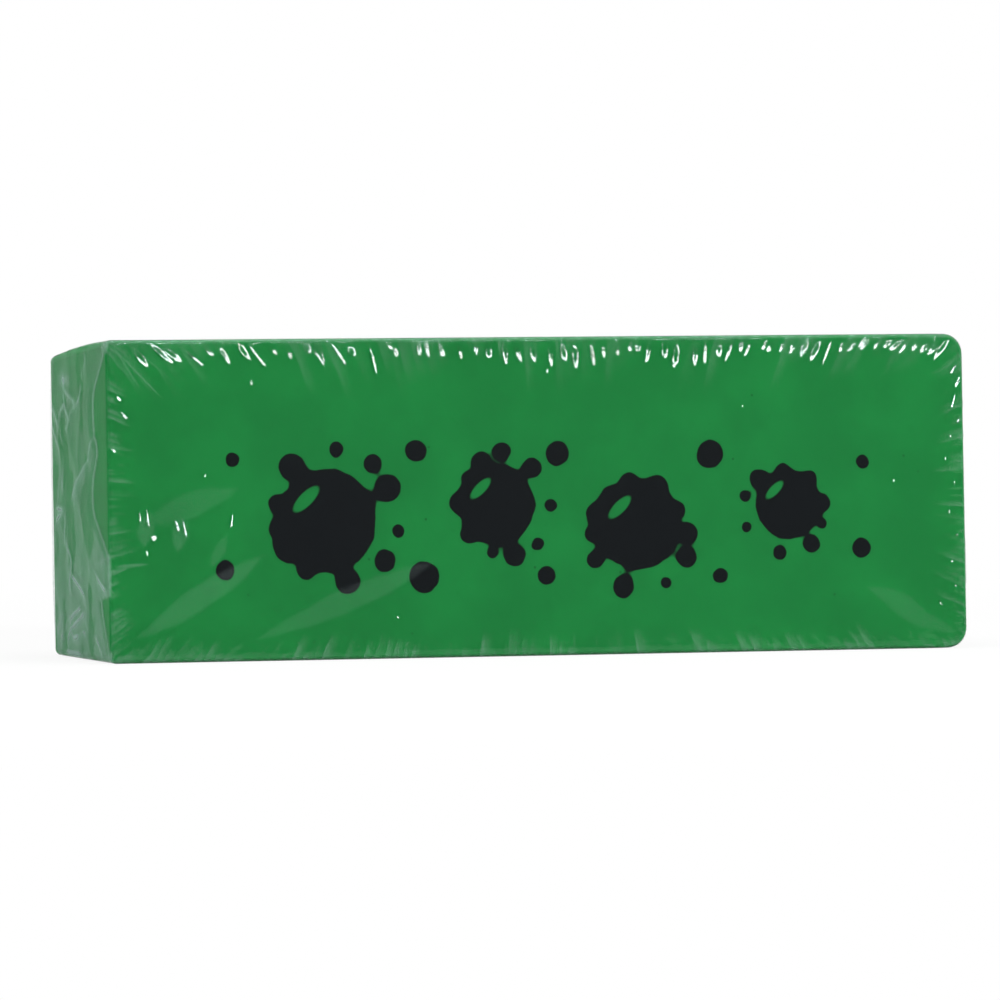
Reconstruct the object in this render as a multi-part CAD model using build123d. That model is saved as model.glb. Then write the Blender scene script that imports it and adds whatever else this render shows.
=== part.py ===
from build123d import *
import math
import os
import random

# A jumbo desk eraser in clear shrink film, standing on one long side. Lengths are in millimetres.
# X runs along the length, Y from the broad front face to the back, Z up from the surface it stands on.
# The solids are drawn with the front face on the XZ plane, then tipped onto the long side and centred.

# The eraser: one moulded rubber block that narrows by its draft from the front face to the back.
face_length = 140.0
face_height = 49.5
block_depth = 38.0
draft_angle = 2.0
right_corner_radius = 3.2
left_corner_radius = 1.0
rim_radius = 0.6

# The film: one clear skin drawn tight on the block.
film_thickness = 0.05

# The gathers: teardrop puckers of film in a row along every edge of the front and back faces.
gather_pitch = 3.4
gather_length = 3.0
gather_width = 1.0
gather_rise = 0.25
gather_margin = 4.5
crest_share = 0.3
lean_share = 0.7
length_spread_share = 0.4
place_spread_share = 0.25
gather_seed = 5

# The left end: the film stands off it as a shallow pillow, under a flap folded round from the front.
pillow_rise = 0.6
flap_width = 8.0
flap_thickness = 0.1
tuck_length = 7.0

# How far cutting and joining solids run past the faces that they meet.
overrun = 1.0

draft = math.radians(draft_angle)
back_inset = block_depth * math.tan(draft)
back_length = face_length - 2 * back_inset
back_height = face_height - 2 * back_inset
slant_depth = block_depth / math.cos(draft)


def drafted_block(skin):
    """The eraser's block, grown by a skin of this thickness on every side."""
    growth = 2 * skin * (1 / math.cos(draft) + math.tan(draft))
    long, tall, deep = face_length + growth, face_height + growth, block_depth + 2 * skin
    inset = deep * math.tan(draft)
    from_front = (Align.CENTER, Align.MIN, Align.CENTER)
    block = Wedge(long, deep, tall, inset, inset, long - inset, tall - inset, align=from_front)
    block = Pos(0, -skin, 0) * block
    left_edges = block.edges().group_by(Axis.Y)[1].group_by(Axis.X)[0]
    block = fillet(left_edges, left_corner_radius + skin)
    right_edges = block.edges().group_by(Axis.Y)[1].group_by(Axis.X)[-1]
    block = fillet(right_edges, right_corner_radius + skin)
    broad_faces = block.faces().sort_by(Axis.Y)
    rims = broad_faces[0].edges() + broad_faces[-1].edges()
    return fillet(rims, rim_radius + skin)


def gather(length, lean):
    """One pucker: a kite-shaped foot from the edge at y = 0 to its tip, raised to a single crest."""
    shoulder = crest_share * length
    middle = crest_share * lean
    start = (0, 0, 0)
    left = (middle - gather_width / 2, shoulder, 0)
    tip = (lean, length, 0)
    right = (middle + gather_width / 2, shoulder, 0)
    crest = (middle, shoulder, film_thickness + gather_rise)
    outlines = [(start, left, tip, right)]
    outlines += [(a, b, crest) for a, b in ((left, start), (tip, left), (right, tip), (start, right))]
    return Solid(Shell([Face(Wire.make_polygon(outline)) for outline in outlines]))


def gathered_edges(plane, run, reach, longest):
    """Puckers along the four edges of a face that measures run by reach, leaning towards its middle."""
    chance = random.Random(gather_seed)
    puckers = []
    for turn, along, across in ((0, run, reach), (90, reach, run), (180, run, reach), (270, reach, run)):
        room = along - 2 * gather_margin
        gaps = max(1, round(room / gather_pitch))
        for step in range(gaps + 1):
            place = (step / gaps - 1 / 2) * room
            place += place_spread_share * gather_pitch * chance.uniform(-1, 1)
            length = longest * (1 - length_spread_share * chance.random())
            lean = -lean_share * length * place / (along / 2)
            at_edge = plane.location * Rot(0, 0, turn) * Pos(place, -across / 2, 0)
            puckers.append(at_edge * gather(length, lean))
    return puckers


def arch(chord, run):
    """A prism along Y with a shallow arc on top, as wide as the chord, and a plinth under it."""
    crown = ThreePointArc((-chord / 2, 0), (0, pillow_rise), (chord / 2, 0))
    plinth = Polyline((chord / 2, 0), (chord / 2, -overrun), (-chord / 2, -overrun), (-chord / 2, 0))
    return extrude(Plane.XZ * make_face(crown + plinth), amount=run / 2, both=True)


def end_pillow(lift):
    """The pillow that the film leaves on the left end, raised from the end face by this much."""
    tall = back_height - 2 * left_corner_radius
    wide = slant_depth - 2 * rim_radius
    pillow = arch(tall, wide) & Rot(0, 0, 90) * arch(wide, tall)
    return left_end.location * Pos(0, 0, lift) * pillow


def front_flap():
    """The film folded round from the front over the left end, with a free edge that bows to the back."""
    hinge = -slant_depth / 2
    free_edge = ThreePointArc((-face_height / 2, hinge), (0, hinge + flap_width), (face_height / 2, hinge))
    outline = make_face(free_edge + Line(free_edge @ 1, free_edge @ 0))
    reach = left_end.location * extrude(outline, amount=pillow_rise + overrun)
    return end_pillow(film_thickness + flap_thickness) & reach


eraser_block = drafted_block(0)

left_middle = (-(face_length - back_inset) / 2, block_depth / 2, 0)
left_end = Plane(left_middle, x_dir=(0, 0, 1), z_dir=(-math.cos(draft), math.sin(draft), 0))
front_face = Plane((0, 0, 0), x_dir=(1, 0, 0), z_dir=(0, -1, 0))
back_face = Plane((0, block_depth, 0), x_dir=(-1, 0, 0), z_dir=(0, 1, 0))

puckers = gathered_edges(front_face, face_length - 2 * rim_radius, face_height - 2 * rim_radius, gather_length)
puckers += gathered_edges(back_face, back_length - 2 * rim_radius, back_height - 2 * rim_radius, gather_length)
puckers += gathered_edges(left_end, back_height - 2 * rim_radius, slant_depth - 2 * rim_radius, tuck_length)

film_outside = drafted_block(film_thickness) + end_pillow(film_thickness) + front_flap() + puckers
shrink_film = film_outside - eraser_block - end_pillow(0)

# Tip both pieces onto the lower long side, and put the origin under the middle of the whole part.
tip = Rot(-draft_angle, 0, 0)
outer_box = (tip * shrink_film).bounding_box()
seat = Pos(-outer_box.center().X, -outer_box.center().Y, -outer_box.min.Z) * tip

os.makedirs("parts", exist_ok=True)
export_step(seat * eraser_block, "parts/eraser_block.step")
export_step(seat * shrink_film, "parts/shrink_film.step")
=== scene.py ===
import math
import bmesh
import bpy
from mathutils import Matrix, Vector
from mathutils.bvhtree import BVHTree


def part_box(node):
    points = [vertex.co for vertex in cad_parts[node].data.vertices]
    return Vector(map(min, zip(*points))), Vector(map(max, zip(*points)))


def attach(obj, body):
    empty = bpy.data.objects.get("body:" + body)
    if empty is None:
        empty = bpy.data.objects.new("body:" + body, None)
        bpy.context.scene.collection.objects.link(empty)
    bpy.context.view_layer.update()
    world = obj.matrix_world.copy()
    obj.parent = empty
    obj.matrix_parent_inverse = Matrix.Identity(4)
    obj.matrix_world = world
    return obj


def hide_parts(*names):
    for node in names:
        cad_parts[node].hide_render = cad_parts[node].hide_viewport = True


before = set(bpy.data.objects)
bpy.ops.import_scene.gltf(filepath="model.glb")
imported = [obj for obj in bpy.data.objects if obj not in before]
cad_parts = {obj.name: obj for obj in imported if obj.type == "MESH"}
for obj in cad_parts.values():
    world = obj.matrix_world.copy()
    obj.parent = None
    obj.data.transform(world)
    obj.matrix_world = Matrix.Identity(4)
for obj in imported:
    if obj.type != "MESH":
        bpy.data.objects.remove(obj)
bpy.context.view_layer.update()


# Camera and studio: a long lens that looks almost level at the broad front face, with the left end turned
# a little into view. A pale floor runs into a white surround, under one long soft lamp and two fills.
MM = 0.001
view_azimuth = math.radians(-17.82)
view_elevation = math.radians(1.28)
view_roll = math.radians(-0.38)
view_distance = 1409 * MM
view_lens = 322.4
view_target = Vector((-0.86, 0.0, 23.83)) * MM

toward_camera = Vector((
    math.sin(view_azimuth) * math.cos(view_elevation),
    -math.cos(view_azimuth) * math.cos(view_elevation),
    math.sin(view_elevation),
))
level_right = Vector((0, 0, 1)).cross(toward_camera).normalized()
camera_right = Matrix.Rotation(view_roll, 3, toward_camera) @ level_right
camera_up = toward_camera.cross(camera_right)
camera = bpy.data.objects.new("camera", bpy.data.cameras.new("camera"))
camera.data.lens = view_lens
camera.matrix_world = Matrix.Translation(view_target + view_distance * toward_camera) @ Matrix((
    camera_right, camera_up, toward_camera)).transposed().to_4x4()
bpy.context.scene.collection.objects.link(camera)
bpy.context.scene.camera = camera
bpy.context.scene.view_settings.view_transform = "Standard"


class Value:
    """A socket in a node tree: sums on it add Math nodes, and node() adds any other node."""

    def __init__(self, tree, socket=None):
        self.tree = tree
        self.socket = socket

    def node(self, kind, settings=None, inputs=None, output=0):
        """Adds a node, sets its settings and then its inputs, and gives back one of its outputs."""
        made = self.tree.nodes.new(kind)
        for name, setting in (settings or {}).items():
            setattr(made, name, setting)
        for name, value in (inputs or {}).items():
            if isinstance(value, Value):
                self.tree.links.new(value.socket, made.inputs[name])
            else:
                made.inputs[name].default_value = value
        return Value(self.tree, made.outputs[output])

    def math(self, operation, *others):
        """A sum on this value, and on the others after it."""
        return self.node("ShaderNodeMath", {"operation": operation}, dict(enumerate((self, *others))))

    def __add__(self, other):
        return self.math("ADD", other)

    def __sub__(self, other):
        return self.math("SUBTRACT", other)

    def __rsub__(self, other):
        return self.node("ShaderNodeMath", {"operation": "SUBTRACT"}, {0: other, 1: self})

    def __neg__(self):
        return 0.0 - self

    def __mul__(self, other):
        return self.math("MULTIPLY", other)

    def __truediv__(self, other):
        return self.math("DIVIDE", other)

    def __pow__(self, other):
        return self.math("POWER", other)

    __radd__ = __add__
    __rmul__ = __mul__

    def high(self, other):
        return self.math("MAXIMUM", other)

    def low(self, other):
        return self.math("MINIMUM", other)

    def vector(self, operation, other, output="Vector"):
        """A Vector Math node on this vector and another one."""
        return self.node("ShaderNodeVectorMath", {"operation": operation}, {0: self, 1: other}, output)

    def mix(self, low, high):
        """A colour that goes from the first to the second as this value goes from 0 to 1."""
        return self.node("ShaderNodeMix", {"data_type": "RGBA"}, {0: self, 6: low, 7: high}, 2)

    def into(self, socket):
        self.tree.links.new(self.socket, socket)

    def ramp(self, start, end, low=0.0, high=1.0):
        """Low below start, high above end, and a smooth rise between them."""
        limits = {"From Min": start, "From Max": end, "To Min": low, "To Max": high}
        smooth = {"interpolation_type": "SMOOTHSTEP"}
        return self.node("ShaderNodeMapRange", smooth, {"Value": self, **limits})

    def axis(self, letter):
        return self.node("ShaderNodeSeparateXYZ", None, {0: self}, letter)

    def axes(self):
        return [self.axis(letter) for letter in "XYZ"]


def new_material(name):
    """An empty node material: its tree as a Value, and its output node."""
    material = bpy.data.materials.new(name)
    material.use_nodes = True
    material.node_tree.nodes.clear()
    output = material.node_tree.nodes.new("ShaderNodeOutputMaterial")
    return material, Value(material.node_tree), output


def seen_directly(tree):
    """1 for rays that show the surround itself: from the camera, mirrored, or through something clear."""
    rays = [tree.node("ShaderNodeLightPath", None, None, name)
            for name in ("Is Camera Ray", "Is Glossy Ray", "Is Transmission Ray")]
    return rays[0].high(rays[1]).high(rays[2])


surround_light = 0.48
room_light = 0.14
world = bpy.data.worlds.new("surround")
bpy.context.scene.world = world
world.use_nodes = True
world.node_tree.nodes.clear()
surround = Value(world.node_tree)
looking = surround.node("ShaderNodeTexCoord", None, None, "Generated")
into_room = (-looking.axis("Y")).ramp(0.40, 0.75)
mirrored = surround.node("ShaderNodeLightPath", None, None, "Is Glossy Ray")
brightness = surround_light + (1 - surround_light) * seen_directly(surround)
brightness = brightness * (1 - (1 - room_light) * into_room * mirrored)
glow = surround.node("ShaderNodeBackground", None, {"Color": (1, 1, 1, 1), "Strength": brightness})
glow.into(world.node_tree.nodes.new("ShaderNodeOutputWorld").inputs["Surface"])

floor_half = 6.0
floor_drop = 0.05 * MM
floor_grey = (0.85, 0.85, 0.85, 1)
shadow_strength = 0.12
floor_mesh = bpy.data.meshes.new("floor")
floor_mesh.from_pydata(
    [(x, y, -floor_drop) for x, y in ((-1, -1), (1, -1), (1, 1), (-1, 1))], [], [(0, 1, 2, 3)])
floor_mesh.transform(Matrix.Diagonal((floor_half, floor_half, 1, 1)))
floor = bpy.data.objects.new("floor", floor_mesh)
bpy.context.scene.collection.objects.link(floor)
floor_material, paper, paper_output = new_material("pale_floor")
matt = paper.node("ShaderNodeBsdfDiffuse", None, {"Color": floor_grey})
ground = paper.node("ShaderNodeTexCoord", None, None, "Object")
past_table = (-ground.axis("Y")).ramp(0.5, 1.2)
floor_mirrored = paper.node("ShaderNodeLightPath", None, None, "Is Glossy Ray")
white = paper.node("ShaderNodeEmission", None, {
    "Color": (1, 1, 1, 1), "Strength": 1 - (1 - room_light) * past_table * floor_mirrored})
from_object = paper.node("ShaderNodeVectorMath", {"operation": "LENGTH"}, {0: ground}, "Value")
shown = seen_directly(paper) * from_object.ramp(0.1, 0.35, 1 - shadow_strength, 1.0)
paper.node("ShaderNodeMixShader", None, {0: shown, 1: matt, 2: white}).into(paper_output.inputs["Surface"])
floor_mesh.materials.append(floor_material)


def area_lamp(name, place, size, power):
    """A soft lamp that faces the middle of the object."""
    lamp = bpy.data.lights.new(name, "AREA")
    lamp.shape = "RECTANGLE"
    lamp.size, lamp.size_y = size
    lamp.energy = power
    lamp_object = bpy.data.objects.new(name, lamp)
    place = Vector(place)
    lamp_object.location = place
    lamp_object.rotation_euler = (view_target - place).to_track_quat("-Z", "Y").to_euler()
    bpy.context.scene.collection.objects.link(lamp_object)


area_lamp("long_lamp", (0.31, -0.97, 0.42), (0.8, 0.045), 6.8)
area_lamp("left_fill", (-1.0, -0.35, 0.35), (0.5, 0.5), 0.6)
area_lamp("top_fill", (0.0, -0.1, 1.0), (0.8, 0.5), 6.0)


# The eraser: one moulded block of green vinyl rubber, drafted so that it leaves its mould, with a soft
# satin skin, faint mottling, pinholes and dark specks. Ink splashes are printed in black on the front face.
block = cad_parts["eraser_block"]
block_low, block_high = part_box("eraser_block")

rubber_green = (0.0125, 0.239, 0.053, 1)
rubber_deep = (0.010, 0.210, 0.046, 1)
rubber_speck = (0.009, 0.150, 0.036, 1)
ink_black = (0.003, 0.005, 0.007, 1)
ink_edge = 0.08 * MM
ink_wobble = 0.9 * MM
shine_edge = 0.12 * MM
blot_places = (
    # middle x, middle z, radius, arms, turn
    (-35.0, 21.5, 7.9, 11, 0.4),
    (-7.5, 23.5, 6.2, 10, 1.3),
    (15.5, 20.0, 6.9, 11, 2.2),
    (40.5, 23.0, 5.4, 9, 3.7),
)
drop_places = (
    # middle x, middle z, radius
    (-51.5, 14.0, 1.6), (-20.5, 32.0, 1.7), (-19.5, 12.5, 2.4), (-50.0, 31.0, 1.1),
    (2.5, 31.5, 1.9), (0.5, 12.5, 1.5), (27.5, 31.0, 2.2), (29.0, 12.0, 1.3),
    (52.5, 16.0, 1.6), (53.0, 29.5, 1.1),
)

rubber, green, rubber_output = new_material("green_rubber")
block_place = green.node("ShaderNodeTexCoord", None, None, "Object")
along, up = block_place.axis("X"), block_place.axis("Z")
facing_front = -green.node("ShaderNodeNewGeometry", None, None, "Normal").axis("Y")


def mottle(scale, detail):
    """Noise over the block, from 0 to 1."""
    noise = {"Vector": block_place, "Scale": scale, "Detail": detail}
    return green.node("ShaderNodeTexNoise", None, noise, "Fac")


def dots(scale, inside, outside):
    """0 in small dots strewn over the block, and 1 between them."""
    cells = green.node("ShaderNodeTexVoronoi", None, {"Vector": block_place, "Scale": scale}, "Distance")
    return cells.ramp(inside, outside)


uneven = (mottle(260.0, 2.0) - 0.5) * ink_wobble


def ellipse(x, z, wide, tall, turn):
    """1 inside a turned ellipse on the front face, and 0 outside it."""
    right, high = along - x, up - z
    across = (right * math.cos(turn) + high * math.sin(turn)) / wide
    rise = (high * math.cos(turn) - right * math.sin(turn)) / tall
    edge = shine_edge / tall
    return (across ** 2 + rise ** 2).math("SQRT").ramp(1 + edge, 1 - edge)


def disc(x, z, radius):
    """Distance outside a round spot of ink, below 0 inside it."""
    right, high = along - x, up - z
    return (right * right + high * high).math("SQRT") - radius


def inked(outside):
    """1 where the distance outside an outline is below 0, with the unevenness of a print."""
    return (outside + uneven).ramp(ink_edge, -ink_edge)


def blot(x, z, radius, arms, turn):
    """1 inside an ink blot: a round middle that runs into drops of uneven size and distance around it."""
    outline = disc(x, z, radius)
    for k in range(arms):
        angle = turn + 2 * math.pi * (k + 0.25 * math.sin(5 * k + turn)) / arms
        reach = radius * (1.22 + 0.24 * math.sin(7 * k + 2 * turn))
        drop = radius * (0.20 + 0.07 * math.cos(4 * k + turn))
        spot = disc(x + reach * math.cos(angle), z + reach * math.sin(angle), drop)
        outline = outline.math("SMOOTH_MIN", spot, 0.42 * radius)
    return inked(outline)


ink = None
for x, z, radius, arms, turn in blot_places:
    shine_x, shine_z = (x - 0.42 * radius) * MM, (z + 0.42 * radius) * MM
    blot_shine = ellipse(shine_x, shine_z, 0.34 * radius * MM, 0.13 * radius * MM, 0.75)
    stain = blot(x * MM, z * MM, radius * MM, arms, turn) * (1 - blot_shine)
    ink = stain if ink is None else ink.high(stain)
for x, z, radius in drop_places:
    ink = ink.high(inked(disc(x * MM, z * MM, radius * MM)))
ink = ink * facing_front.ramp(0.90, 0.95)

cloudy = mottle(90.0, 4.0)
pinholes = dots(420.0, 0.05, 0.12)
grain = mottle(2600.0, 3.0)
specks = dots(170.0, 0.025, 0.05)
bare = specks.mix(rubber_speck, (cloudy.ramp(0.35, 0.7) * pinholes).mix(rubber_deep, rubber_green))
relief = green.node("ShaderNodeBump", None, {"Strength": 0.12, "Distance": 0.05 * MM, "Height": grain})
satin = 0.62 + (cloudy - 0.5) * 0.2 - ink * 0.15
green.node("ShaderNodeBsdfPrincipled", None, {
    "Base Color": ink.mix(bare, ink_black), "Roughness": satin, "Normal": relief,
    "Specular IOR Level": 0.06,
}).into(rubber_output.inputs["Surface"])
block.data.materials.clear()
block.data.materials.append(rubber)


# The shrink film: one clear skin of plastic, drawn tight on the block by heat. It is smooth on the broad
# faces, gathered along their edges where the spare film is taken up, and loose, pleated and milky over the
# ends. Nothing holds it but its own tightness.
film_gap = 0.06 * MM
net_step = 4.0 * MM
net_margin = 1.4 * MM
fine_cuts = 12
coarse_cuts = 7
gathered_band = 7.0 * MM
longest_undivided = 1.2 * MM
weld_distance = 1e-6
cut_tolerance = 1e-7
flat_angle = math.radians(0.3)


def steps(low, high, step):
    """Places between two ends, evenly spaced and about a step apart, with both ends."""
    count = max(1, round((high - low) / step))
    return [low + (high - low) * k / count for k in range(count + 1)]


def broad_normal(direction):
    """The mean normal of the block's faces that look along a direction."""
    total = Vector((0, 0, 0))
    for polygon in block.data.polygons:
        if polygon.normal.dot(direction) > 0.99:
            total += polygon.area * polygon.normal
    return total.normalized()


front_normal = broad_normal(Vector((0, -1, 0)))
back_normal = broad_normal(Vector((0, 1, 0)))
left_normal = broad_normal(Vector((-1, 0, 0)))
right_normal = broad_normal(Vector((1, 0, 0)))

net = bmesh.new()
net.from_mesh(block.data)
bmesh.ops.remove_doubles(net, verts=net.verts, dist=weld_distance)
bmesh.ops.dissolve_limit(net, angle_limit=flat_angle, verts=net.verts, edges=net.edges)
for axis in range(3):
    for cut_place in steps(block_low[axis] + net_margin, block_high[axis] - net_margin, net_step):
        cut_point, cut_normal = Vector((0, 0, 0)), Vector((0, 0, 0))
        cut_point[axis], cut_normal[axis] = cut_place, 1
        parts = net.verts[:] + net.edges[:] + net.faces[:]
        bmesh.ops.bisect_plane(
            net, geom=parts, dist=cut_tolerance, plane_co=cut_point, plane_no=cut_normal)


def looks_along(face, normal):
    return face.normal.dot(normal) > 0.35


def in_border(face):
    """Whether a face of the net lies in the gathered band round a broad face."""
    centre = face.calc_center_median()
    beside = min(centre.x - block_low.x, block_high.x - centre.x)
    return min(beside, centre.z - block_low.z, block_high.z - centre.z) < gathered_band


def divided(chosen, cuts):
    """Divides the long edges of the faces that a test picks out, and fills them with a finer net."""
    net.normal_update()
    edges = {}
    for face in net.faces:
        if chosen(face):
            edges.update((edge, None) for edge in face.edges if edge.calc_length() > longest_undivided)
    bmesh.ops.subdivide_edges(net, edges=list(edges), cuts=cuts, use_grid_fill=True)


def closely_folded(face):
    """Whether a face of the net is on the left end or in the border of the front."""
    return looks_along(face, left_normal) or looks_along(face, front_normal) and in_border(face)


divided(closely_folded, fine_cuts)
divided(lambda face: looks_along(face, back_normal) and in_border(face), coarse_cuts)
divided(lambda face: looks_along(face, right_normal), coarse_cuts)
crowded = [face for face in net.faces if len(face.verts) > 4]
bmesh.ops.triangulate(net, faces=crowded, ngon_method="BEAUTY")
bmesh.ops.dissolve_degenerate(net, dist=weld_distance, edges=net.edges)
film_mesh = bpy.data.meshes.new("film")
net.to_mesh(film_mesh)
net.free()
film = bpy.data.objects.new("film", film_mesh)
bpy.context.scene.collection.objects.link(film)

pleat_paths = (
    # points on the left end: from its middle to the back, and height
    ((-12.0, 36.5), (-8.9, 35.2), (-5.4, 31.7), (-2.3, 30.4), (0.9, 28.7), (3.2, 27.4), (5.5, 25.7)),
    ((11.4, 45.0), (11.0, 42.4), (10.6, 41.3), (13.3, 39.8), (13.8, 38.6), (13.0, 36.7), (11.8, 35.5)),
    ((10.2, 43.2), (6.3, 42.1), (2.8, 40.9)),
    ((-1.1, 43.1), (0.1, 41.2), (2.8, 40.5), (5.1, 39.6), (6.7, 38.3), (7.9, 37.0)),
    ((10.2, 40.8), (6.7, 38.9)),
    ((-3.8, 48.6), (-4.5, 46.9), (-1.5, 45.5)),
    ((18.8, 41.0), (12.6, 36.7)),
    ((19.0, 37.9), (15.7, 35.3), (11.8, 32.9), (11.4, 31.2), (12.1, 27.7)),
    ((-9.2, 15.3), (-19.0, 15.9)),
    ((-8.0, 14.9), (-12.8, 12.8), (-16.8, 11.5), (-19.2, 10.7)),
    ((9.3, 18.8), (6.9, 16.9), (6.3, 15.1), (7.3, 12.8), (7.7, 11.2)),
    ((5.7, 13.2), (-2.4, 10.3), (-3.5, 7.6), (-4.0, 5.3), (-10.4, 3.3), (-13.2, 1.6)),
    ((7.7, 5.6), (6.5, 6.9), (0.9, 8.3)),
    ((7.3, 4.9), (0.9, 6.7), (-3.1, 7.8)),
    ((10.5, 2.5), (7.7, 4.7), (5.7, 3.5), (-2.4, 4.6)),
    ((17.0, 4.5), (10.1, 9.1)),
    ((15.7, 2.4), (8.1, 7.0)),
    ((18.9, 24.5), (11.3, 24.1)),
    ((11.3, 24.0), (17.3, 21.4), (17.0, 19.5)),
    ((10.1, 23.8), (10.5, 18.9)),
    ((12.1, 0.9), (-2.4, 1.0)),
)
path_front, path_shift, path_ease = -19.0, 2.5, 10.0
top_fall = 0.0014
block_tree = BVHTree.FromPolygons(
    [vertex.co for vertex in block.data.vertices], [polygon.vertices for polygon in block.data.polygons])
pleat_points, pleat_edges = [], []
for end in (-1, 1):
    for path in pleat_paths:
        for k, (path_y, path_z) in enumerate(path):
            path_y = path_y - path_shift * min(1, (path_y - path_front) / path_ease)
            path_z = path_z * (1 - top_fall * (path_y - path_front))
            path_z = path_z * MM if end < 0 else block_high.z - path_z * MM
            beside = Vector((end * block_high.x, path_y * MM, path_z))
            pleat_points.append(block_tree.find_nearest(beside)[0])
            if k:
                pleat_edges.append((len(pleat_points) - 2, len(pleat_points) - 1))
pleat_mesh = bpy.data.meshes.new("pleat_lines")
pleat_mesh.from_pydata(pleat_points, pleat_edges, [])
pleat_lines = bpy.data.objects.new("pleat_lines", pleat_mesh)
bpy.context.scene.collection.objects.link(pleat_lines)


def new_shape_tree(name, sizes, others):
    """A Geometry Nodes tree: itself, its input sockets, and what they give inside it, both by name."""
    tree = bpy.data.node_groups.new(name, "GeometryNodeTree")
    tree.interface.new_socket("Geometry", in_out="OUTPUT", socket_type="NodeSocketGeometry")
    tree.interface.new_socket("Geometry", in_out="INPUT", socket_type="NodeSocketGeometry")
    kinds = {**dict.fromkeys(sizes, "NodeSocketFloat"), **others}
    sockets = {label: tree.interface.new_socket(label, in_out="INPUT", socket_type=kind)
               for label, kind in kinds.items()}
    group_input = tree.nodes.new("NodeGroupInput")
    return tree, sockets, {label: Value(tree, group_input.outputs[label]) for label in ("Geometry", *kinds)}


def reshape(piece, tree, sockets, values):
    """Runs a Geometry Nodes tree on a piece with these values, and makes its result the piece's mesh."""
    modifier = piece.modifiers.new(tree.name, "NODES")
    modifier.node_group = tree
    for label, value in values.items():
        modifier[sockets[label].identifier] = value
    ready = piece.evaluated_get(bpy.context.evaluated_depsgraph_get())
    piece.data = bpy.data.meshes.new_from_object(ready)
    piece.modifiers.clear()


relief_sizes = {
    "Gap": film_gap, "Crown": 0.32 * MM, "Crown Reach": 6.5 * MM,
    "Pitch": 2.7 * MM, "Fine Pitch": 1.9 * MM, "Reach": 4.8 * MM, "Lean": 1.0,
    "Top Rise": 0.08 * MM, "Side Rise": 0.11 * MM, "Foot Rise": 0.05 * MM,
    "Puff": 0.40 * MM, "Fold": 0.80 * MM, "Pleat": 0.20 * MM, "Flap": 0.12 * MM,
    "Bow": 0.08 * MM, "Arch": 0.42 * MM,
}
relief_tree, relief_sockets, size = new_shape_tree(
    "film_relief", relief_sizes, {"Pleats": "NodeSocketObject", "Material": "NodeSocketMaterial"})
field = Value(relief_tree)
here = field.node("GeometryNodeInputPosition")
outward = field.node("GeometryNodeInputNormal")


def facing(normal, start, end):
    """1 where the film looks along a normal, and 0 where it is turned away from it."""
    return outward.vector("DOT_PRODUCT", tuple(normal), "Value").ramp(start, end)


def depth_from(normal):
    """How far in from the block's face with this normal a place on the film is."""
    farthest = max(vertex.co.dot(normal) for vertex in block.data.vertices)
    return farthest - here.vector("DOT_PRODUCT", tuple(normal), "Value")


def chance(place, seed, scale=1.0):
    """An even, random number along a line, from about 0 to 1."""
    noise = {"W": place * scale + seed, "Scale": 1.0, "Detail": 1.0}
    return field.node("ShaderNodeTexNoise", {"noise_dimensions": "1D"}, noise, "Fac").ramp(0.25, 0.75)


def bell(*distances):
    """1 where all of these are 0, and falling smoothly to nothing as any of them grows past 1."""
    square = distances[0] * distances[0]
    for distance in distances[1:]:
        square = square + distance * distance
    return (-square).math("EXPONENT")


def gathers(run, gap, half, pitch, rise, seed):
    """Gathers on an edge, with sharp ridges that lean inwards and die out: their height, and the ridges,
    where pale reflections get painted.
    """
    straight = run / pitch
    phase = straight * (size["Lean"] * gap / half + 1) + 0.9 * chance(straight, seed, 0.45)
    reach = size["Reach"] * (0.45 + 0.55 * chance(straight, seed + 31.7, 0.8))
    strength = (0.55 + 0.75 * chance(straight, seed + 77.1, 0.6)) * (1 - 0.4 * (run / half) ** 2)
    between = phase.math("FRACT") * 2 - 1
    ridge = between * between
    fade = gap.ramp(reach, 0.0)
    return rise * strength * (ridge - 0.4) * fade, ridge.ramp(0.75, 1.0) * fade


def crown(gap, reach):
    """Rises steadily less steeply from 0 at an edge to 1, where the film stands clear of the face."""
    left_over = 1 - (gap / reach).low(1.0).high(0.0)
    return 1 - left_over * left_over


here_x, here_y, here_z = here.axes()
half_length = (block_high.x - block_low.x) / 2
half_height = (block_high.z - block_low.z) / 2
middle = (block_low + block_high) / 2
end_reach = 8 * MM
run_x, run_z = here_x - middle.x, here_z - middle.z
top_gap, foot_gap = block_high.z - here_z, here_z - block_low.z
left_gap, right_gap = here_x - block_low.x, block_high.x - here_x
wide_pitch, fine_pitch = size["Pitch"], size["Fine Pitch"]
top_wave, top_ridge = gathers(run_x, top_gap, half_length, wide_pitch, size["Top Rise"], 3.0)
foot_wave, foot_ridge = gathers(run_x, foot_gap, half_length, fine_pitch, size["Foot Rise"], 11.0)
left_wave, left_ridge = gathers(run_z, left_gap, half_height, fine_pitch, size["Foot Rise"], 23.0)
right_wave, right_ridge = gathers(run_z, right_gap, half_height, fine_pitch, size["Side Rise"], 41.0)
settling = (foot_gap / (2 * half_height - size["Crown Reach"])).low(1.0)
clear_of_face = crown(top_gap, size["Crown Reach"]) * settling
clear_of_face = clear_of_face * crown(left_gap, end_reach) * crown(right_gap, end_reach)
crown_rise = size["Crown"] * (0.75 + 0.5 * chance(here_x / (14 * MM), 55.0))
broad = top_wave + foot_wave + left_wave + right_wave + clear_of_face * crown_rise
on_broad = facing(front_normal, 0.4, 0.95) + facing(back_normal, 0.4, 0.95)
# The rim along the upper front edge, where a pale highlight is painted on the film.
on_rim = outward.axis("Z").ramp(0.1, 0.45) * (-outward.axis("Y")).ramp(0.15, 0.45)

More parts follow.
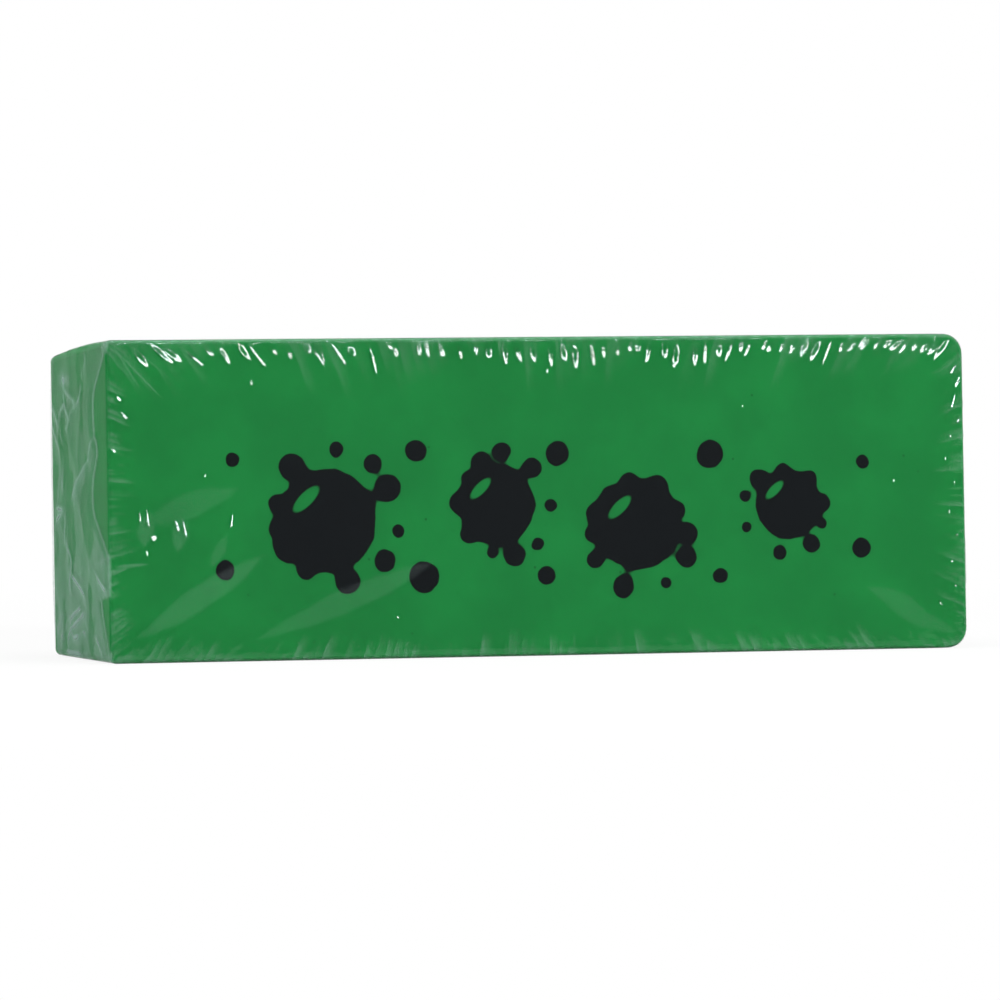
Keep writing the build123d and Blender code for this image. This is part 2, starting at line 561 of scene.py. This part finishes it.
on_left, on_right = facing(left_normal, 0.2, 0.9), facing(right_normal, 0.2, 0.9)
from_left = depth_from(left_normal)
from_front, from_back = depth_from(front_normal), depth_from(back_normal)
upright = 1 - (run_z / half_height) ** 2
level = 1 - ((from_front - from_back) / (from_front + from_back)) ** 2
dome = (upright * level).high(0.0) ** 0.5
drift_reach = 8 * MM
drift = field.node("ShaderNodeTexNoise", None, {"Vector": here, "Scale": 120.0, "Detail": 1.0}, "Color")
bent = field.node("ShaderNodeVectorMath", {"operation": "MULTIPLY_ADD"}, {
    0: drift, 1: (drift_reach, drift_reach, drift_reach), 2: here})
squat = bent.vector("MULTIPLY", (1.0, 1.0, 0.7))
bowls = field.node("ShaderNodeTexVoronoi", {"feature": "F1"}, {"Vector": squat, "Scale": 105.0}, "Distance")
bowls = bowls ** 2
drawn_out = bent.vector("MULTIPLY", (1.0, 1.0, 0.45))
lying = field.node("ShaderNodeTexVoronoi", {"feature": "SMOOTH_F1"}, {
    "Vector": drawn_out, "Scale": 190.0, "Smoothness": 0.35}, "Color").axis("X").ramp(0.45, 0.75)

crease = field.node("GeometryNodeObjectInfo", None, {"Object": size["Pleats"]}, "Geometry")
crease = field.node("GeometryNodeMeshToCurve", None, {0: crease})
crease = field.node("GeometryNodeCurveSplineType", {"spline_type": "CATMULL_ROM"}, {0: crease})
crease = field.node("GeometryNodeCurveToMesh", None, {0: crease})
pleat_gap = field.node("GeometryNodeProximity", {"target_element": "EDGES"}, {0: crease}, "Distance")
pleat_place = Value(relief_tree, pleat_gap.socket.node.outputs["Position"])
broken = {"Vector": here, "Scale": 210.0, "Detail": 1.0}
uneven_pleat = field.node("ShaderNodeTexNoise", None, broken, "Fac").ramp(0.3, 0.65, 0.1, 1.0)
down_and_back = (0.0, 0.6, -0.8)
below_pleat = here.vector("SUBTRACT", pleat_place).vector("DOT_PRODUCT", down_and_back, "Value")
below_pleat = below_pleat.ramp(0.0, 0.2 * MM)
pleat_crest = bell(pleat_gap / (0.5 * MM)) * uneven_pleat
pleat_line = bell(pleat_gap / (0.34 * MM)) * uneven_pleat
tuck = bell(pleat_gap / (1.6 * MM)) * below_pleat * uneven_pleat


def flap_edge(height):
    """How far from the front edge the tight strip of film on the left end reaches, at a height."""
    upper = height.ramp(15.8 * MM, 23.5 * MM) * height.ramp(49 * MM, 40 * MM) * (8.0 * MM)
    upper = upper + bell((height - 25.5 * MM) / (3 * MM)) * (1.2 * MM)
    upper = upper - bell((height - 32.5 * MM) / (2.5 * MM)) * (2.4 * MM)
    lower = height.ramp(0.0, 9.5 * MM) * height.ramp(10.4 * MM, 9.5 * MM) * (4.3 * MM)
    return upper + lower + 0.3 * MM


past_flap = from_front - flap_edge(here_z)
welt = bell(past_flap / (0.45 * MM))
slack = past_flap.ramp(0.0, 2.0 * MM)
hem = bell(past_flap / (2.4 * MM)) * past_flap.ramp(0.0, 0.3 * MM)
loose = dome * (size["Puff"] + bowls * size["Fold"]) * (0.1 + 0.9 * slack)
loose = loose + welt * size["Flap"] + pleat_crest * size["Pleat"]
bow_reach = 4 * MM
bow = bell(from_back / bow_reach, from_left / bow_reach) * upright.high(0.0) * size["Bow"]
bow = bow + bell(top_gap / bow_reach, from_left / bow_reach) * level.high(0.0) * size["Arch"]
# A painted highlight: a bright pale patch high on the left end.
painted_highlight_patch = bell((here_y - 9.0 * MM) / (3.4 * MM), (here_z - 43.3 * MM) / (1.0 * MM))
right_share = 0.6
lift = size["Gap"] + (broad * on_broad).high(0.0) + loose * (on_left + on_right * right_share) + bow
move = field.node("ShaderNodeVectorMath", {"operation": "SCALE"}, {0: outward, "Scale": lift})

painted_row_streak, painted_edge_streak, painted_rim_highlight = 0.06, 0.05, 0.05
# A pale highlight is painted along the raised flap edge of the left end.
painted_welt_highlight, hem_haze = 0.20, 0.05
# Pale highlights are painted along the pleat lines of both ends, with painted sheen fading below each
# pleat, and one painted highlight patch.
painted_pleat_highlight, painted_tuck_sheen, painted_patch_strength = 0.24, 0.10, 0.22
painted_right_pleat_highlight, painted_right_tuck_sheen = 0.06, 0.05
lying_share = 0.5
# Pale reflections painted along the ridges of the gathers on the broad faces.
painted_ridge_streaks = top_ridge * painted_row_streak + foot_ridge * painted_edge_streak + left_ridge * painted_edge_streak + right_ridge * painted_row_streak
painted_slack_sheen = pleat_line * painted_pleat_highlight + tuck * painted_tuck_sheen + painted_highlight_patch * painted_patch_strength
end_haze_and_sheen = on_left * (welt * painted_welt_highlight + hem * hem_haze + slack * painted_slack_sheen)
end_haze_and_sheen = end_haze_and_sheen + on_right * (pleat_line * painted_right_pleat_highlight + tuck * painted_right_tuck_sheen)
marks = {
    "tight": (on_left * (1 - slack).high(lying * lying_share)).high(on_right * lying * lying_share),
    "loose": (on_left * slack).high(on_right * right_share),
    "haze": on_broad * painted_ridge_streaks + end_haze_and_sheen + on_rim * painted_rim_highlight,
}
skin = size["Geometry"]
for name, amount in marks.items():
    skin = field.node("GeometryNodeStoreNamedAttribute", {"data_type": "FLOAT", "domain": "POINT"}, {
        "Geometry": skin, "Name": name, "Value": amount})
skin = field.node("GeometryNodeSetPosition", None, {"Geometry": skin, "Offset": move})
skin = field.node("GeometryNodeSetShadeSmooth", None, {"Geometry": skin})
skin = field.node("GeometryNodeRealizeInstances", None, {0: skin})
skin = field.node("GeometryNodeSetMaterial", None, {"Geometry": skin, "Material": size["Material"]})
skin.into(relief_tree.nodes.new("NodeGroupOutput").inputs[0])

clear, sheen, clear_output = new_material("clear_film")
mark = {name: sheen.node("ShaderNodeAttribute", {"attribute_name": name}, None, "Fac") for name in marks}
film_index = 1.33
fresnel = sheen.node("ShaderNodeFresnel", None, {"IOR": film_index})
mirror = fresnel * (1 - 0.9 * mark["tight"]) * (1 - 0.78 * mark["loose"])
gloss_colour = (0.86, 1, 0.98, 1)
# The pale colour of the film where it is milky, and of the reflections and highlights painted on it.
haze_and_sheen_colour = (0.66, 0.85, 0.85, 1)
film_place = sheen.node("ShaderNodeTexCoord", None, None, "Object")
film_x, film_z = film_place.axis("X"), film_place.axis("Z")
film_facing = sheen.node("ShaderNodeNewGeometry", None, None, "Normal").axis("Y")
film_front = (-film_facing).ramp(0.5, 0.8)
film_back = film_facing.ramp(0.5, 0.8)
ragged = sheen.node("ShaderNodeTexNoise", None, {
    "Vector": film_place, "Scale": 330.0, "Detail": 2.0}, "Fac") - 0.5


def random_tooth(number, seed):
    """A random number, from 0 to 1, for each whole number."""
    return sheen.node("ShaderNodeTexWhiteNoise", {"noise_dimensions": "1D"}, {"W": number + seed}, "Value")


def painted_feathers(run, gap, half, pitch, reach, seed):
    """Pale reflections painted as soft marks that spread out from an edge: each is crisp on one side, and
    fades across and along.
    """
    drifting = sheen.node("ShaderNodeTexNoise", {"noise_dimensions": "1D"}, {
        "W": run / (3 * pitch) + seed, "Scale": 1.0, "Detail": 1.0}, "Fac")
    phase = run * (0.8 * gap / half + 1) / pitch + 1.2 * drifting
    number = phase.math("FLOOR")
    length = reach * (0.25 + 0.75 * random_tooth(number, seed))
    shown = random_tooth(number, seed + 17.3).ramp(0.25, 0.75)
    return (1 - phase.math("FRACT")) * shown * gap.ramp(length, 0.3 * length)


film_run_x, film_run_z = film_x - middle.x, film_z - middle.z
# Pale reflections painted as soft marks spreading in from all four edges of the broad faces.
painted_fan_streaks = painted_feathers(film_run_x, block_high.z - film_z, half_length, 2.0 * MM, 11.0 * MM, 4.0) * 0.042
painted_fan_streaks = painted_fan_streaks.high(painted_feathers(film_run_x, film_z - block_low.z, half_length, 1.6 * MM, 5.0 * MM, 9.0) * 0.07)
painted_fan_streaks = painted_fan_streaks.high(painted_feathers(film_run_z, film_x - block_low.x, half_height, 0.9 * MM, 5.5 * MM, 15.0) * 0.08)
painted_fan_streaks = painted_fan_streaks.high(painted_feathers(film_run_z, block_high.x - film_x, half_height, 1.0 * MM, 7.0 * MM, 21.0) * 0.06)


def painted_streak_mark(x, z, turn, long, wide, strength):
    """A cloudy spindle of painted pale reflection on the film of the front face, turned by so many degrees,
    with ragged sides.
    """
    turn = math.radians(turn)
    right, high = film_x - x * MM, film_z - z * MM
    far = (right * math.cos(turn) + high * math.sin(turn)) / (long * MM)
    off = (high * math.cos(turn) - right * math.sin(turn)) / (wide * MM) + ragged * 0.5
    return (far * far + off.math("ABSOLUTE")).ramp(1.0, 0.6) * strength


# Pale reflections painted on the front film as cloudy spindles.
painted_streak_marks = (
    # middle x, middle z, turn, half length, half width, strength
    (-55.5, 10.0, 31, 13.0, 2.3, 0.024), (-32.0, 9.2, 22, 17.0, 2.2, 0.018),
    (58.5, 7.6, -24, 6.0, 1.7, 0.016), (-65.2, 44.7, -46, 6.5, 0.16, 0.07),
    (-66.6, 45.2, -58, 4.5, 0.14, 0.06), (-63.0, 46.2, -40, 5.0, 0.14, 0.05),
    (-52.5, 17.0, 62, 3.0, 1.1, 0.018), (-57.0, 24.0, 20, 9.0, 2.4, 0.016),
    (-64.0, 20.5, 80, 3.0, 1.6, 0.030), (-58.6, 19.8, 80, 3.2, 1.6, 0.028),
    (-66.5, 15.0, 4, 3.0, 0.30, 0.06), (62.5, 4.6, -20, 7.0, 1.5, 0.016),
)
painted_streaks = painted_fan_streaks
for mark_place in painted_streak_marks:
    painted_streaks = painted_streaks.high(painted_streak_mark(*mark_place))
# The loose film on the ends is milky, more so towards the bottom.
milky = mark["loose"] * (1 - mark["tight"]) * film_z.ramp(0.0, block_high.z, 0.14, 0.03)
# Pale film colour: the milky loose film together with all the painted reflections and highlights.
haze = (mark["haze"] + milky + painted_streaks * film_front + painted_fan_streaks * film_back).low(1.0)
shine = (1 - haze) * mirror
seen = haze + shine
glossy = shine / seen
sheen.node("ShaderNodeBsdfPrincipled", None, {
    "Base Color": glossy.mix(haze_and_sheen_colour, gloss_colour), "Metallic": glossy, "Roughness": 0.05,
    "Alpha": seen, "Specular IOR Level": 0.0,
}).into(clear_output.inputs["Surface"])

reshape(film, relief_tree, relief_sockets, {**relief_sizes, "Pleats": pleat_lines, "Material": clear})
bpy.data.objects.remove(pleat_lines)
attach(film, "root")
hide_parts("shrink_film")


# The puckers: raised folds of the same film, in a row under the upper front edge and one by one elsewhere
# on the front face, where it had too much to take up as it shrank. They are part of the skin, and their
# upper edges catch the lamp.
pucker_places = (
    # upper end x, upper end z, length, width, lean from upright in degrees
    (-68.5, 41.1, 1.2, 0.40, 40), (-67.6, 38.4, 1.3, 0.45, 40), (-69.3, 32.9, 0.8, 0.40, 50),
    (-65.0, 23.1, 1.6, 0.28, 0), (-63.9, 23.5, 2.6, 0.32, 4), (-63.1, 19.6, 0.9, 1.00, 30),
    (-59.4, 22.0, 2.0, 0.32, 14), (-58.2, 22.0, 2.8, 0.26, 10), (-64.0, 17.4, 0.9, 0.36, 5),
    (-50.3, 22.5, 1.8, 0.35, -8), (-54.5, 28.9, 0.5, 0.40, 0), (-46.9, 43.1, 0.5, 0.35, 0),
    (1.0, 44.5, 0.5, 0.30, 0), (65.4, 7.7, 1.0, 0.50, 20), (68.9, 44.6, 1.8, 0.40, -38),
    (33.0, 38.7, 0.4, 0.30, 0), (-24.0, 6.6, 0.5, 0.30, 10), (58.0, 26.7, 0.4, 0.30, 0),
    (69.4, 42.6, 1.7, 0.55, -25), (68.6, 39.8, 2.2, 0.45, -20), (69.2, 36.2, 0.9, 0.50, -20),
    (67.9, 33.4, 0.4, 0.40, -50), (66.9, 29.9, 0.4, 0.50, -65), (68.4, 26.1, 0.4, 0.45, -60),
    (67.4, 21.6, 0.4, 0.50, -65), (68.7, 17.9, 0.5, 0.40, -60), (67.9, 13.7, 0.4, 0.45, -60),
    (68.5, 10.0, 0.6, 0.40, -60),
)
pucker_count = 62
row_start, row_length = -66.0 * MM, 134.0 * MM
ray_length = 0.2

pucker_mesh = bpy.data.meshes.new("film_puckers")
pucker_mesh.from_pydata([(x * MM, -ray_length / 2, z * MM) for x, z, *_ in pucker_places], [], [])
pucker_sizes = pucker_mesh.attributes.new("sizes", "FLOAT_VECTOR", "POINT")
for k, (x, z, length, width, degrees) in enumerate(pucker_places):
    pucker_sizes.data[k].vector = (width * MM, length * MM, math.radians(degrees))
puckers = bpy.data.objects.new("film_puckers", pucker_mesh)
bpy.context.scene.collection.objects.link(puckers)

pucker_values = {
    "Slope": 0.191, "Slope Fall": 0.69, "Lift": 0.12 * MM, "Sink": 0.04 * MM,
    "Shortest": 1.3 * MM, "Longer": 2.4 * MM,
}
pucker_tree, pucker_sockets, wanted = new_shape_tree(
    "film_puckers", pucker_values, {"Film": "NodeSocketObject", "Material": "NodeSocketMaterial"})
bump = Value(pucker_tree)
pucker_number = bump.node("GeometryNodeInputIndex")


def lot(seed):
    """A random number, from 0 to 1, for each pucker in the row."""
    along_row = {"W": pucker_number + seed}
    return bump.node("ShaderNodeTexWhiteNoise", {"noise_dimensions": "1D"}, along_row, "Value")


def point(x, y, z):
    return bump.node("ShaderNodeCombineXYZ", None, {"X": x, "Y": y, "Z": z})


def keep(geometry, name, value):
    """Stores a vector on the points of a geometry, under a name."""
    return bump.node("GeometryNodeStoreNamedAttribute", {"data_type": "FLOAT_VECTOR", "domain": "POINT"}, {
        "Geometry": geometry, "Name": name, "Value": value})


def kept(name):
    """What is stored under a name, as its three numbers."""
    vectors = {"data_type": "FLOAT_VECTOR"}
    return bump.node("GeometryNodeInputNamedAttribute", vectors, {"Name": name}).axes()


share = pucker_number / (pucker_count - 1)
row_x = row_start + row_length * share * (1.3 - 0.3 * share) + (lot(1.5) - 0.5) * (1.5 * MM)
off_middle = (row_x - middle.x) / half_length
row_z = block_high.z - (0.5 + 1.0 * lot(2.5)) * MM
row_lean = (lot(3.5) - 0.5) * 0.45 - 0.85 * off_middle
row_long = (wanted["Shortest"] + wanted["Longer"] * lot(4.5) ** 1.4) * (1 + 0.35 * off_middle ** 2)
row_wide = (0.50 + 0.95 * lot(5.5) ** 1.6) * MM
row = bump.node("GeometryNodeMeshLine", {"mode": "OFFSET"}, {"Count": pucker_count})
row = bump.node("GeometryNodeSetPosition", None, {
    "Geometry": row, "Position": point(row_x, -ray_length / 2, row_z)})
row = keep(row, "sizes", point(row_wide, row_long, row_lean))
row = keep(row, "form", point(0.30 + 0.48 * lot(5.5), lot(7.5) * 2 - 1, (lot(8.5) - 0.5) * 0.12))
roots = bump.node("GeometryNodeJoinGeometry", None, {0: row})
wanted["Geometry"].into(roots.socket.node.inputs[0])
skin_shape = bump.node("GeometryNodeObjectInfo", None, {"Object": wanted["Film"]}, "Geometry")
on_skin = bump.node("GeometryNodeRaycast", None, {
    "Target Geometry": skin_shape, "Ray Direction": (0, 1, 0), "Ray Length": ray_length}, "Hit Position")
roots = bump.node("GeometryNodeSetPosition", None, {"Geometry": roots, "Position": on_skin})

ring = bump.node("GeometryNodeCurvePrimitiveCircle", {"mode": "RADIUS"}, {"Resolution": 20, "Radius": 1.0})
section = bump.node("GeometryNodeCurvePrimitiveQuadrilateral", {"mode": "RECTANGLE"}, {
    "Width": 0.2, "Height": 0.2})
loop = bump.node("GeometryNodeCurveToMesh", None, {"Curve": ring, "Profile Curve": section})
loop = bump.node("GeometryNodeFlipFaces", None, {0: loop})
loop = keep(loop, "unit", bump.node("GeometryNodeInputPosition"))
loops = bump.node("GeometryNodeInstanceOnPoints", None, {"Points": roots, "Instance": loop})
loops = bump.node("GeometryNodeRealizeInstances", None, {0: loops})

unit_x, unit_y, unit_z = kept("unit")
wide, long, lean = kept("sizes")
hollow, side, sideways = kept("form")
unit_radius = (unit_x ** 2 + unit_y ** 2).math("SQRT")
turn_x, turn_y = unit_x / unit_radius, unit_y / unit_radius
hollow = hollow.high(0.05)
flare = 1 - 1.8 * side.math("ABSOLUTE")
grown = hollow + (1 - hollow) * unit_radius.ramp(0.95, 1.05)
across_it = (turn_x * grown + 0.6 * side * (1 - grown)) * (0.72 + 0.28 * turn_y * flare) * wide * 0.5
along_it = (turn_y * grown - 0.55 * (1 - grown) + 1) * long * 0.5
cosine, sine = lean.math("COSINE"), lean.math("SINE")
to_right = across_it * cosine + along_it * sine
to_top = across_it * sine - along_it * cosine
on_top = unit_z.ramp(-0.05, 0.05)
root_z = bump.node("GeometryNodeInputPosition").axis("Z") - unit_z
tilt = wanted["Slope"] - wanted["Slope Fall"] * root_z
dip = (0.35 * long - along_it).high(0.0) * side.ramp(0.05, 0.3) * 0.5
crest = (wanted["Lift"] - tilt * to_top + sideways * to_right - dip).high(-0.5 * wanted["Sink"])
height = on_top * crest - (1 - on_top) * wanted["Sink"]
face_up = front_normal.cross(Vector((1, 0, 0)))
to_back = front_normal.y * height + face_up.y * to_top
to_above = front_normal.z * height + face_up.z * to_top
pucker_move = point(to_right, to_back, to_above).vector("SUBTRACT", point(unit_x, unit_y, unit_z))
loops = bump.node("GeometryNodeSetPosition", None, {"Geometry": loops, "Offset": pucker_move})
loops = bump.node("GeometryNodeSetShadeSmooth", None, {"Geometry": loops, "Shade Smooth": False})
loops = bump.node("GeometryNodeSetMaterial", None, {"Geometry": loops, "Material": wanted["Material"]})
loops.into(pucker_tree.nodes.new("NodeGroupOutput").inputs[0])
reshape(puckers, pucker_tree, pucker_sockets, {**pucker_values, "Film": film, "Material": clear})
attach(puckers, "root")
